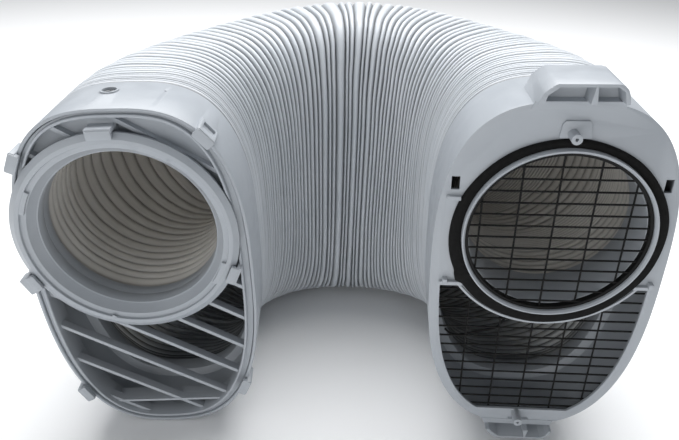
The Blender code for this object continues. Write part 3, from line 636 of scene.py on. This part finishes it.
def moulded(made, name, node, material, where, edge=0.0005):
    """Round the edges of a finished piece, put it in its place and hand it to the frame."""
    if edge:
        rounding = made.modifiers.new("rounding", "BEVEL")
        rounding.width = edge
        rounding.segments = 2
        rounding.limit_method = "ANGLE"
        rounding.angle_limit = radians(32)
        rounding.loop_slide = False
        applied(made)
    made.name = name
    made.data.name = name
    made.data.transform(where)
    made.data.materials.clear()
    made.data.materials.append(material)
    made.data.shade_smooth()
    made.data.set_sharp_from_angle(angle=radians(38))
    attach(made, "root")
    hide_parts(node)
    return made


def edge_at(share, upper):
    """A way to build on the oval's edge at this share of the half width: across, out, depth."""
    power, reach = (oval_power_up, oval_top - oval_widest) if upper else (oval_power_low, oval_widest)
    flip = 1 if upper else -1
    x, size = share * oval_half, abs(share)
    rise = reach * (1 - size ** power) ** (1 / power)
    angle = atan2(flip * (rise / reach) ** (power - 1) / reach, copysign(size ** (power - 1) / oval_half, x))
    c, s = cos(angle), sin(angle)
    z = oval_widest + flip * rise
    return lambda across, out, depth: (x + out * c - across * s, depth, z + out * s + across * c)


def rounded(low_u, low_v, high_u, high_v, corner, steps=4):
    """A rectangle with round corners as an outline."""
    line = []
    for cu, cv, turn in ((high_u - corner, high_v - corner, 0), (low_u + corner, high_v - corner, 1),
                         (low_u + corner, low_v + corner, 2), (high_u - corner, low_v + corner, 3)):
        for k in range(steps + 1):
            a = (turn + k / steps) * pi / 2
            line.append((cu + corner * cos(a), cv + corner * sin(a)))
    return line


def snap_hook(share, upper, half=0.0092):
    """An arm over the rim with a nose that turns in, a springy tongue behind it and a channel in that."""
    at = edge_at(share, upper)
    arm = slab(rounded(-half, -0.0012, half, 0.0044, 0.0014), -0.0056, 0.0150, at)
    nose = slab(rounded(-half + 0.0005, -0.0048, half - 0.0005, 0.0038, 0.0012), -0.0068, -0.0026, at)
    tongue = slab(rounded(-half + 0.0010, 0.0080, half - 0.0010, 0.0300, 0.0070), -0.0010, 0.0024,
                  lambda u, v, w: at(u, w, v))
    channel = slab(rounded(-half + 0.0030, 0.0010, half - 0.0030, 0.0120, 0.0010), 0.0022, 0.0070,
                   lambda u, v, w: at(u, w, v))
    return merge(merge(arm, [nose, tongue]), [channel], "DIFFERENCE")


def ring_hook(angle, arm_out, arm_back, width):
    """A small hook that rises outside the ring and turns over its front."""
    c, s = cos(angle), sin(angle)

    def at(across, out, depth):
        return (left_mouth + (0.098 + out) * c - across * s, depth,
                mouth_height + (0.098 + out) * s + across * c)

    half = width / 2
    arm = slab(rounded(-half, 0.0008, half, arm_out, 0.0008), -0.0090, arm_back, at)
    nose = slab(rounded(-half + 0.0006, -0.0042, half - 0.0006, 0.0032, 0.0012), -0.0100, -0.0064, at)
    return merge(arm, [nose])


window_shell = oval_band([(0.0010, 0.0), (0.0003, 0.0003), (0.0, 0.0009), (0.0, 0.0024), (0.0006, 0.0030),
                          (0.0040, 0.0032)] + spigot_line)
snap_places = ((0.720, True), (-0.835, True), (0.800, False), (-0.785, False))
merge(window_shell, [snap_hook(share, upper) for share, upper in snap_places])
merge(window_shell, [ring_hook(radians(206), 0.0100, 0.0028, 0.017)])


def stud(x, depth, low, high, radius, sides):
    """An upright pin at the top of a band, between two heights above the oval."""
    return rod((x, depth, oval_top + low), (x, depth, oval_top + high), radius, sides)


screw_x, screw_depth = -0.0107, 0.043
merge(window_shell, [stud(screw_x, screw_depth, -0.012, 0.0012, 0.0080, 32)])
merge(window_shell, [stud(screw_x, screw_depth, -0.0034, 0.006, 0.0062, 32),
                     stud(0.0350, 0.047, -0.006, 0.004, 0.0010, 12)], "DIFFERENCE")
moulded(window_shell, "window_band", "window_end_shell", shell_plastic, window_end)

# Slatted insert: one moulding with an outer rail, a seat for the ring, slanted slats between them
# and a closed plate behind the upper slats. It is pushed into the band.


def rail_inset(c, s):
    """The rail lies close to the rim at the top and farther from it at the sides."""
    return 0.0080 - 0.0034 * max(s, 0.0) ** 2 + 0.0010 * max(c, 0.0) ** 2


def behind_rail(more):
    """A line that stays this much further in than the outside of the rail."""
    return lambda c, s: rail_inset(c, s) + more


insert = oval_band([(-0.0016, behind_rail(0.0005)), (-0.0020, behind_rail(0.0010)),
                    (-0.0020, behind_rail(0.0022)), (-0.0014, behind_rail(0.0027)),
                    (0.0220, behind_rail(0.0027)), (0.0220, 0.0037), (0.0025, 0.0037), (0.0025, rail_inset)])
slat_slope, slat_pitch, slat_thick, slat_reach = radians(-32), 0.0378, 0.0034, 0.152
slat_line = Vector((cos(slat_slope), sin(slat_slope)))
slat_side = Vector((-slat_line.y, slat_line.x)) * slat_thick / 2
bars = []
for k in range(-8, 7):
    middle = Vector((0, mouth_height - 0.17 * slat_pitch + k * slat_pitch))
    corners = [middle - slat_line * slat_reach - slat_side, middle + slat_line * slat_reach - slat_side,
               middle + slat_line * slat_reach + slat_side, middle - slat_line * slat_reach + slat_side]
    bars.append(slab([tuple(p) for p in corners], 0.0035, 0.0115))
bars.append(block((-0.11, 0.0105, 0.238), (0.11, 0.0125, oval_top)))
bars.append(block((-0.060, 0.0030, 0.0262), (0.072, 0.0200, 0.0286)))
web = merge(bars[0], bars[1:])
merge(web, [slab(oval(band_sides, behind_rail(0.0012)), -0.01, 0.03)], "INTERSECT")
mouth = (left_mouth, mouth_height)


def mouth_hole(radius, front, back):
    """A round plug to cut the mouth with."""
    return rod((left_mouth, front, mouth_height), (left_mouth, back, mouth_height), radius, 128)


merge(web, [mouth_hole(0.0886, -0.02, 0.08)], "DIFFERENCE")
merge(insert, [mouth_hole(0.0885, -0.02, 0.08), mouth_hole(0.0990, -0.02, 0.0010)], "DIFFERENCE")
seat = turned([(0.0050, 0.0897), (0.0050, 0.0875), (0.0185, 0.0875), (0.0185, 0.0768), (0.0300, 0.0772),
               (0.0300, 0.0782), (0.0210, 0.0782), (0.0210, 0.0897)], mouth)
bracket = slab([(left_mouth - 0.0135, 0.3325), (left_mouth - 0.0120, 0.3180), (left_mouth + 0.0070, 0.3180),
                (left_mouth + 0.0085, 0.3325), (left_mouth + 0.0085, oval_top - 0.0062),
                (left_mouth - 0.0135, oval_top - 0.0062)], 0.0040, 0.0120)
merge(insert, [web, seat, bracket])
for angle, width in ((radians(91.5), 0.0215), (radians(-24), 0.0185)):
    c, s, half = cos(angle), sin(angle), width / 2
    foot = [(left_mouth + r * c - w * s, mouth_height + r * s + w * c)
            for r, w in ((0.0887, -half), (0.0887, half), (0.1012, half), (0.1012, -half))]
    merge(insert, [merge(ring_hook(angle, 0.0050, 0.018, width), [slab(foot, 0.0075, 0.0200)])])
moulded(insert, "slatted_insert", "slatted_grille", shell_plastic, window_end, 0.0003)

# Locking ring: a turned cup that drops into the seat; the hooks hold its flange. Three tabs on
# the front edge are grips for turning it.

ring = turned([
    (-0.0030, 0.0980), (-0.0057, 0.0932), (-0.0060, 0.0929), (-0.0060, 0.0892), (-0.0057, 0.0889),
    (-0.0036, 0.0887), (-0.0031, 0.0883), (-0.0026, 0.0840), (-0.0020, 0.0837), (0.0050, 0.0786),
    (0.0058, 0.0780), (0.0060, 0.0775), (0.0070, 0.0774), (0.0080, 0.0768), (0.0182, 0.0767),
    (0.0182, 0.0872), (0.0037, 0.0872), (0.0037, 0.0901), (-0.0003, 0.0901), (-0.0003, 0.0980)], mouth, 160)
tabs = []
for middle, wide in ((155, 15), (65, 16), (-27, 16)):
    tabs.append(turned([(-0.0057, 0.0897), (-0.0057, 0.0850), (-0.0020, 0.0850), (-0.0020, 0.0897)], mouth, 8,
                       radians(middle - wide / 2), radians(middle + wide / 2)))
tabs.append(slab([(-0.0338, 0.1440), (-0.0290, 0.1452), (-0.0330, 0.1478)], -0.0064, -0.0050))
merge(ring, tabs)
moulded(ring, "ring", "locking_ring", shell_plastic, window_end, 0.0003)

# Unit adapter: one moulding with the band, a flat flange, the round collar for the outlet of the
# unit, a lip round the foam, an opening below, two posts and an open lug above and below. It has
# a slot at each side of the flange and one in the top of the band.

collar = (right_mouth, mouth_height)
collar_radius, neck_radius = 0.0800, 0.0745
unit_shell = oval_band([(0.0020, 0.0), (0.0012, 0.0006), (0.0012, 0.0030)] + spigot_line)


def lower_opening(inset):
    """The opening below the divider: the oval inside its rim, cut by the divider and the lip."""
    roof, ground, lip = 0.1745 - inset, 0.0200 + inset, 0.0973 + inset
    edge = oval(144, 0.0095 + inset)
    right = []
    for (xa, za), (xb, zb) in zip(edge, edge[1:] + edge[:1]):
        for level in (ground, roof):
            if xa + xb > 0 and za < level <= zb:
                right.append((xa + (xb - xa) * (level - za) / (zb - za), level))
        if xb > 0 and ground + 0.001 < zb < roof - 0.001 and zb > za:
            right.append((xb, zb))
    right.sort(key=lambda p: p[1])
    from_angle = asin((roof - mouth_height) / lip)
    arc = [(right_mouth + lip * cos(a), mouth_height + lip * sin(a))
           for a in (from_angle + (-pi - 2 * from_angle) * k / 40 for k in range(41))]
    return [(-x, z) for x, z in reversed(right)] + right + arc


flange = slab(oval(band_sides), 0.0, 0.0030)
collar_hole = rod((right_mouth, -0.01, mouth_height), (right_mouth, 0.02, mouth_height), 0.078, 128)
merge(flange, [slab(lower_opening(0.0), -0.01, 0.02), collar_hole], "DIFFERENCE")
neck = turned([(-0.0100, collar_radius), (-0.0100, 0.0788), (-0.0080, 0.0773), (0.0, 0.0773), (0.0, 0.0735),
               (0.0450, 0.0733), (0.0450, neck_radius), (0.0190, neck_radius),
               (0.0170, collar_radius)], collar)
lip = turned([(-0.0022, 0.0965), (-0.0022, 0.0943), (0.0020, 0.0943), (0.0020, 0.0965)], collar, 96,
             radians(-146), radians(-34))
pad = slab([(-0.0085, 0.3175), (0.0165, 0.3175), (0.0148, 0.3290), (0.0130, 0.3318), (-0.0050, 0.3318),
            (-0.0072, 0.3290)], -0.0024, 0.0010)
posts = []
for x, z in ((0.0017, mouth_height + 0.0913), (-0.0050, 0.0160)):
    drilled = rod((x, -0.008, z), (x, -0.020, z), 0.0014, 12)
    posts.append(merge(rod((x, 0.001, z), (x, -0.0145, z), 0.0043), [drilled], "DIFFERENCE"))
ledges = [block((-0.0925, -0.0040, 0.1752), (-0.0720, 0.0010, 0.1790)),
          block((0.0770, -0.0040, 0.1752), (0.0935, 0.0010, 0.1785)),
          block((-0.0900, -0.0058, 0.1768), (-0.0860, 0.0010, 0.1822)),
          block((0.0890, -0.0058, 0.1768), (0.0930, 0.0010, 0.1822)),
          block((-0.0915, -0.0040, 0.2615), (-0.0800, 0.0010, 0.2650)),
          block((-0.0120, -0.0030, 0.0060), (0.0080, 0.0010, 0.0085))]
merge(flange, [neck, lip, pad] + posts + ledges)


def lug(sign):
    """An open pocket above or below the band, in front of the flange, with a rib in it."""
    base, aside, h = (oval_top - 0.006, 0.0010, 0.0226) if sign > 0 else (0.006, -0.0045, 0.0185)
    open_front, open_back = -0.013, 0.010

    def line(rows):
        return [(x + aside, base + sign * z) for x, z in rows]

    hood = slab(line([(-0.034, 0.0), (-0.028, h - 0.0080), (-0.0265, h - 0.0058), (-0.020, h - 0.0008),
                      (-0.018, h), (0.026, h), (0.0300, h - 0.0012), (0.0330, h - 0.0042),
                      (0.0348, h - 0.0080), (0.038, 0.0)]), -0.0090, 0.040)
    pockets = [slab(line([(-0.0265, 0.0064), (-0.0245, h - 0.0090), (-0.0165, h - 0.0024),
                          (0.0095, h - 0.0024), (0.0075, 0.0064)]), open_front, open_back),
               slab(line([(0.0128, 0.0064), (0.0110, h - 0.0024), (0.0256, h - 0.0024),
                          (0.0310, h - 0.0060), (0.0335, 0.0064)]), open_front, open_back),
               slab(line([(-0.05, -0.02), (-0.05, 0.0068), (0.05, 0.0068), (0.05, -0.02)]),
                    open_front, -0.0006)]
    return merge(hood, pockets, "DIFFERENCE")


merge(unit_shell, [flange, lug(1), lug(-1)])
slot_out = oval_half - 0.0125
merge(unit_shell, [block((-slot_out, -0.01, 0.270), (0.0070 - slot_out, 0.012, 0.282)),
                   block((slot_out - 0.0065, -0.01, 0.270), (slot_out, 0.012, 0.282)),
                   block((-0.006, 0.046, oval_top - 0.012), (0.008, 0.052, oval_top + 0.010))], "DIFFERENCE")
moulded(unit_shell, "unit_adapter", "unit_end_shell", shell_plastic, unit_end, 0.0004)

# Foam strip: soft black foam, glued on the flange round the collar. Its two ends are butted at the
# lower left, where they swell a little, and it seals on the unit.

foam = bpy.data.materials.new("black_foam")
tree, shader, grain = start_plastic(foam, 40.0, 1400.0, 260.0)
tree.links.new(blend_colour(tree, grain["Scuff"], (0.003, 0.003, 0.003), (0.012, 0.012, 0.012)),
               shader.inputs["Base Color"])
shader.inputs["Roughness"].default_value = 0.95
shader.inputs["Specular IOR Level"].default_value = 0.2
raise_bump(tree, shader, grain["Scuff"], 0.6, 0.0008)
foam_steps = 180
foam_rings = []
for i in range(foam_steps):
    a = 2 * pi * i / foam_steps
    swell = 0.0030 * exp(-((a - radians(208)) / 0.06) ** 2) + 0.0003 * sin(7 * a) * sin(3 * a + 1)
    foam_rings.append([(right_mouth + r * cos(a), y, mouth_height - drop + r * sin(a)) for y, r, drop in (
        (-0.0003, 0.0803, 0.0), (-0.0003, 0.0902 + swell, 0.0036), (-0.0030 - swell, 0.0902 + swell, 0.0036),
        (-0.0042 - swell, 0.0893 + swell, 0.0036), (-0.0048 - swell, 0.0870, 0.0020),
        (-0.0046 - swell, 0.0815, 0.0), (-0.0038, 0.0803, 0.0))])
moulded(loft(foam_rings, True), "foam_strip", "foam_gasket", foam, unit_end, 0.0)

# Guards: black moulded grids that keep fingers out, a round one in the collar and a shaped one
# behind the opening below. Upright bars run behind the level ones.

black_plastic = bpy.data.materials.new("black_plastic")
tree, shader, grain = start_plastic(black_plastic)
tree.links.new(blend_colour(tree, grain["Mottle"], (0.003, 0.003, 0.003), (0.007, 0.007, 0.007)),
               shader.inputs["Base Color"])
tree.links.new(span(tree, grain["Scuff"], 0.3, 0.7, 0.5, 0.65), shader.inputs["Roughness"])
shader.inputs["Specular IOR Level"].default_value = 0.2


def bar_tree():
    """Round bars along the edges of a mesh, their ends closed."""
    tree, given, result = new_tree("round_bars", [
        ("Lines", "NodeSocketGeometry", None), ("Bar Radius", "NodeSocketFloat", 0.0007),
        ("Bar Sides", "NodeSocketInt", 8), ("Material", "NodeSocketMaterial", None)])
    curve = tree.nodes.new("GeometryNodeMeshToCurve")
    tree.links.new(given["Lines"], curve.inputs["Mesh"])
    circle = tree.nodes.new("GeometryNodeCurvePrimitiveCircle")
    tree.links.new(given["Bar Sides"], circle.inputs["Resolution"])
    tree.links.new(given["Bar Radius"], circle.inputs["Radius"])
    solid = tree.nodes.new("GeometryNodeCurveToMesh")
    tree.links.new(curve.outputs[0], solid.inputs["Curve"])
    tree.links.new(circle.outputs[0], solid.inputs["Profile Curve"])
    solid.inputs["Fill Caps"].default_value = True
    end_tree(tree, solid.outputs[0], given["Material"], result)
    return tree


round_bars = bar_tree()


def chords(line, level, upright):
    """Where a level or upright line crosses an outline, in pairs."""
    hits = []
    for a, b in zip(line, line[1:] + line[:1]):
        (pa, qa), (pb, qb) = ((a[0], a[1]), (b[0], b[1])) if upright else ((a[1], a[0]), (b[1], b[0]))
        if (pa < level) != (pb < level):
            hits.append(qa + (qb - qa) * (level - pa) / (pb - pa))
    hits.sort()
    return list(zip(hits[0::2], hits[1::2]))


def guard_lines(name, line, rows, columns, depth, offset, outline_too):
    """A mesh of separate edges for the bars of one guard."""
    points, edges = [], []
    for upright, levels, back in ((False, rows, 0.0), (True, columns, offset)):
        for level in levels:
            for first, last in chords(line, level, upright):
                edges.append((len(points), len(points) + 1))
                points += [(level, depth + back, v) if upright else (v, depth, level) for v in (first, last)]
    if outline_too:
        start = len(points)
        points += [(x, depth, z) for x, z in line]
        edges += [(start + k, start + (k + 1) % len(line)) for k in range(len(line))]
    mesh = bpy.data.meshes.new(name)
    mesh.from_pydata(points, edges, [])
    return mesh


def joined(body, others):
    """Make the others part of the body's mesh as they are."""
    together = [body, *others]
    with bpy.context.temp_override(active_object=body, object=body, selected_objects=together,
                                   selected_editable_objects=together):
        bpy.ops.object.join()
    return body


guard_bar = {"Bar Radius": 0.0009, "Bar Sides": 8, "Material": black_plastic}
column_offset = 0.0010
guard_columns = [-0.0015 + (k - 2) * 0.0305 for k in range(5)]
round_rows = [mouth_height + (k - 6.2) * 0.0110 for k in range(13)]
lower_rows = [0.0222 + k * 0.01105 for k in range(14)]
circle_radius, circle_sides = 0.0750, 96
circle_turns = [2 * pi * k / circle_sides for k in range(circle_sides)]
guard_circle = [(right_mouth + circle_radius * cos(a), mouth_height + circle_radius * sin(a))
                for a in circle_turns]
round_lines = guard_lines("round_lines", guard_circle, round_rows, guard_columns, -0.0045, column_offset,
                          False)
round_grid = grown("round_guard_bars", round_lines, round_bars, guard_bar)
rim = turned([(-0.0062, 0.0770), (-0.0062, 0.0747), (-0.0056, 0.0742), (-0.0003, 0.0742), (-0.0003, 0.0770)],
             collar)
rim.data.materials.append(black_plastic)
moulded(joined(rim, [round_grid]), "round_grid", "round_guard", black_plastic, unit_end, 0.0)
lower_lines = guard_lines("lower_lines", lower_opening(-0.0022), lower_rows, guard_columns, 0.0046,
                          column_offset, True)
lower_grid = grown("lower_guard_bars", lower_lines, round_bars, guard_bar)
moulded(lower_grid, "lower_grid", "lower_guard", black_plastic, unit_end, 0.0)

# Cable tie: a black nylon strap, drawn tight round the inner hose on the neck of the unit adapter.
# Its head sits below, and its uncut tail curls down behind the lower guard.

tie_radius, tie_front, tie_back = 0.0836, 0.0317, 0.0353
tie_foot = mouth_height - tie_radius
tie = turned([(tie_front, tie_radius), (tie_front, 0.0849), (tie_back, 0.0849), (tie_back, tie_radius)],
             collar, 96)
tail = [(-0.0790, 0.0940), (-0.0760, 0.0905), (-0.0730, 0.0880), (-0.0690, 0.0870), (-0.0650, 0.0868),
        (-0.0610, 0.0875), (-0.0570, 0.0886), (-0.0535, 0.0900), (-0.0500, 0.0908), (-0.0455, 0.0922),
        (-0.0410, 0.0937), (-0.0350, 0.0950), (-0.0300, 0.0970), (-0.0265, 0.1000), (-0.0240, 0.1040),
        (-0.0225, 0.1080), (-0.0200, 0.1110), (-0.0180, 0.1180), (-0.0170, 0.1280), (-0.0175, 0.1380),
        (-0.0185, 0.1480)]
strand_mesh = bpy.data.meshes.new("strand_line")
strand_mesh.from_pydata([(x, 0.0335, z) for x, z in tail], [(k, k + 1) for k in range(len(tail) - 1)], [])
tail_bar = {"Bar Radius": 0.0011, "Bar Sides": 8, "Material": black_plastic}
strand = grown("tie_strand", strand_mesh, round_bars, tail_bar)
head = block((right_mouth - 0.0250, 0.0305, tie_foot - 0.0010),
             (right_mouth - 0.0165, 0.0365, tie_foot + 0.0050))
moulded(joined(tie, [strand, head]), "tie", "cable_tie", black_plastic, unit_end, 0.0)

# Band screw: a plated steel screw with a pan head, driven down into the boss of the window band.
# Its shape is right as packed, so it only gets its finish.

screw_steel = bpy.data.materials.new("screw_steel")
tree, shader, grain = start_plastic(screw_steel, 60.0, 2500.0, 400.0)
tree.links.new(blend_colour(tree, grain["Mottle"], (0.40, 0.41, 0.42), (0.30, 0.31, 0.32)),
               shader.inputs["Base Color"])
shader.inputs["Metallic"].default_value = 1.0
tree.links.new(span(tree, grain["Scuff"], 0.3, 0.7, 0.25, 0.45), shader.inputs["Roughness"])
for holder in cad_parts["band_screw"].material_slots:
    holder.material = screw_steel

# Floor, light and viewpoint

floor_half, floor_level = 6, -0.0004
floor_corners = [(x * floor_half, y * floor_half, floor_level)
                 for x, y in ((-1, -1), (1, -1), (1, 1), (-1, 1))]
floor_mesh = bpy.data.meshes.new("floor")
floor_mesh.from_pydata(floor_corners, [], [(0, 1, 2, 3)])
floor = bpy.data.objects.new("floor", floor_mesh)
bpy.context.scene.collection.objects.link(floor)
floor_paint = bpy.data.materials.new("floor_paint")
floor_paint.use_nodes = True
floor_shader = floor_paint.node_tree.nodes["Principled BSDF"]
floor_shader.inputs["Base Color"].default_value = (0.90, 0.905, 0.91, 1)
floor_shader.inputs["Roughness"].default_value = 0.9
floor_mesh.materials.append(floor_paint)


def soft_light(name, spot, target, size, power):
    data = bpy.data.lights.new(name, "AREA")
    data.shape = "RECTANGLE"
    data.size, data.size_y = size
    data.energy = power
    lamp = bpy.data.objects.new(name, data)
    lamp.location = spot
    lamp.rotation_euler = (Vector(target) - Vector(spot)).to_track_quat("-Z", "Y").to_euler()
    bpy.context.scene.collection.objects.link(lamp)


soft_light("overhead", (0.0, 0.65, 1.9), (0.0, 0.1, 0.15), (2.6, 1.4), 78)
soft_light("front", (-0.4, -1.7, 0.42), (0.0, 0.0, 0.12), (1.8, 0.6), 9)
soft_light("window_side", (-1.5, -0.9, 1.2), (0.0, 0.0, 0.15), (1.2, 1.0), 3)
world = bpy.data.worlds.new("studio")
bpy.context.scene.world = world
world.use_nodes = True
world.node_tree.nodes["Background"].inputs[0].default_value = (0.93, 0.96, 1.0, 1)
world.node_tree.nodes["Background"].inputs[1].default_value = 0.27
bpy.context.scene.view_settings.view_transform = "Standard"

view = bpy.data.cameras.new("viewpoint")
view.lens = 33.34
view.sensor_width = 36
view.clip_start = 0.02
camera = bpy.data.objects.new("viewpoint", view)
camera_place, looks_down, turned_by = (-0.00292, -0.65624, 0.5236), radians(30.232), radians(1.8115)
camera.matrix_world = (Matrix.Translation(camera_place) @ Matrix.Rotation(pi / 2 - looks_down, 4, "X")
                       @ Matrix.Rotation(turned_by, 4, "Z"))
bpy.context.scene.collection.objects.link(camera)
bpy.context.scene.camera = camera
